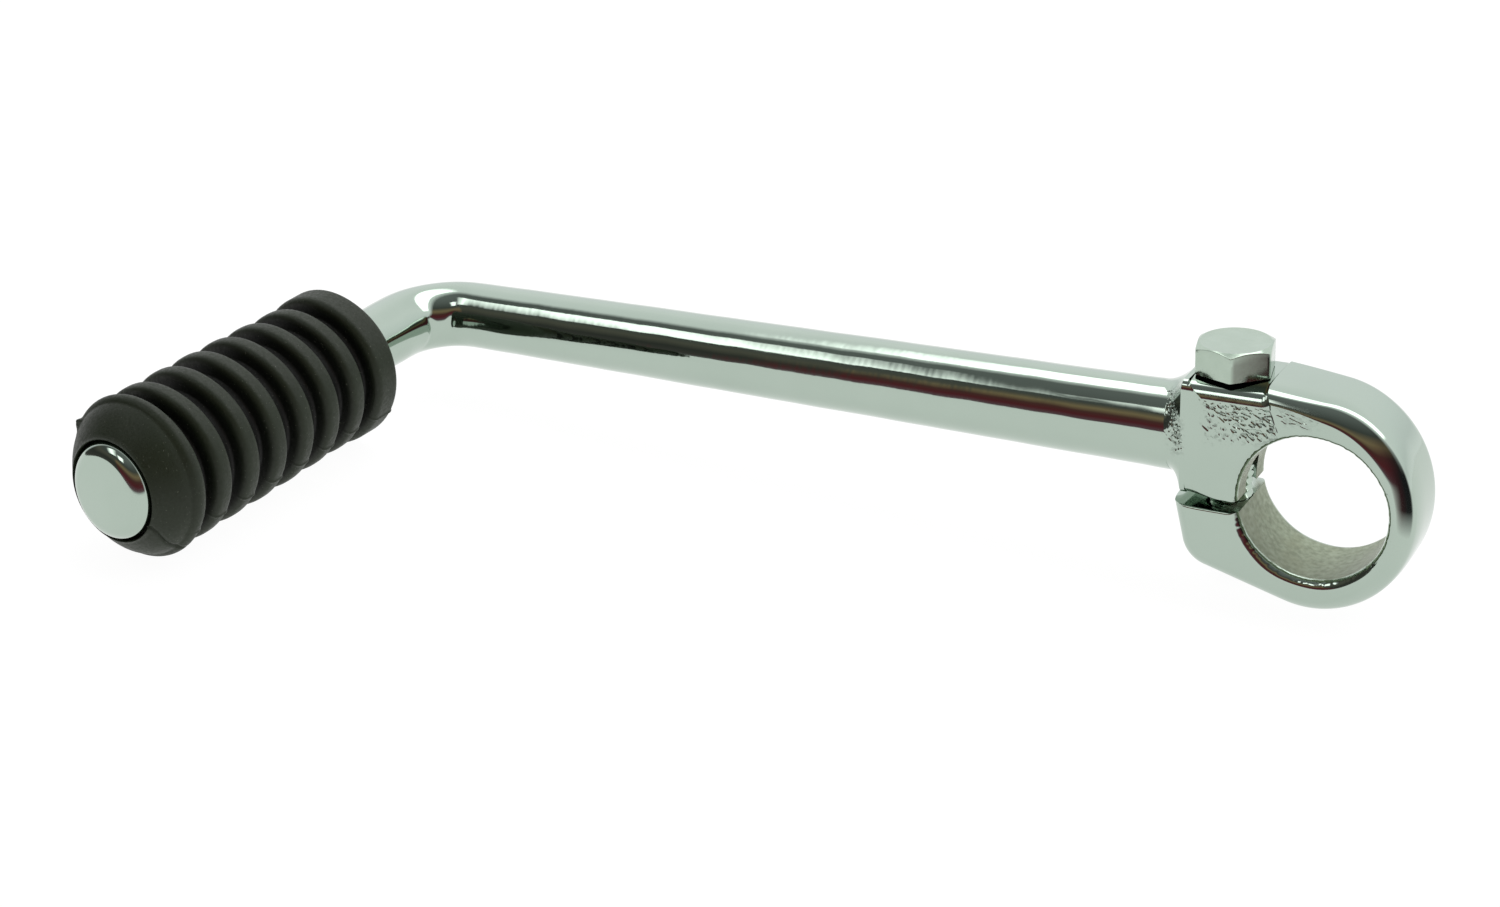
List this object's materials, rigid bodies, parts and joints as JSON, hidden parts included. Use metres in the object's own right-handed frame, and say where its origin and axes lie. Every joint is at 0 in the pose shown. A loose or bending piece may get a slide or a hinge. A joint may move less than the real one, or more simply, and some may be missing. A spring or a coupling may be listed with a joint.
{
  "type": "gear shift lever",
  "caption": "Motorcycle gear shift lever: split clamping eye, bent chromed arm, ribbed rubber grip on a peg, hex pinch bolt.",
  "frame": {"origin": "middle of the shaft bore: on its axis, halfway through the eye's width", "axes": "+Y along the bore towards the engine, -X along the arm towards the peg, -Y along the peg towards the rider's foot, +Z along the pinch bolt towards its head"},
  "size_m": [0.1707, 0.0843, 0.0356],
  "materials": {
    "chrome_plate": "polished and chrome plated, with fine polishing ripple",
    "chrome_weld": "chrome over a dressed weld, a little rough at its toe",
    "grip_rubber": "matte moulded rubber",
    "zinc_steel": "satin zinc plate"
  },
  "bodies": {
    "lever": {"clamp_head": "chrome_plate", "arm_rod": "chrome_plate", "weld_collar": "chrome_weld", "peg_end_disc": "chrome_plate"},
    "grip": {"grip_rubber": "grip_rubber"},
    "bolt": {"pinch_bolt": "zinc_steel"}
  },
  "joints": [
    {"name": "grip_turn", "type": "hinge", "parent": "lever", "child": "grip", "pos_m": [-0.1451, -0.05, 0.0066], "axis": [0, 1, 0], "continuous": true},
    {"name": "pinch_bolt_travel", "type": "slide", "parent": "lever", "child": "bolt", "axis": [0, 0, 1], "range_m": [0, 0.013]}
  ]
}
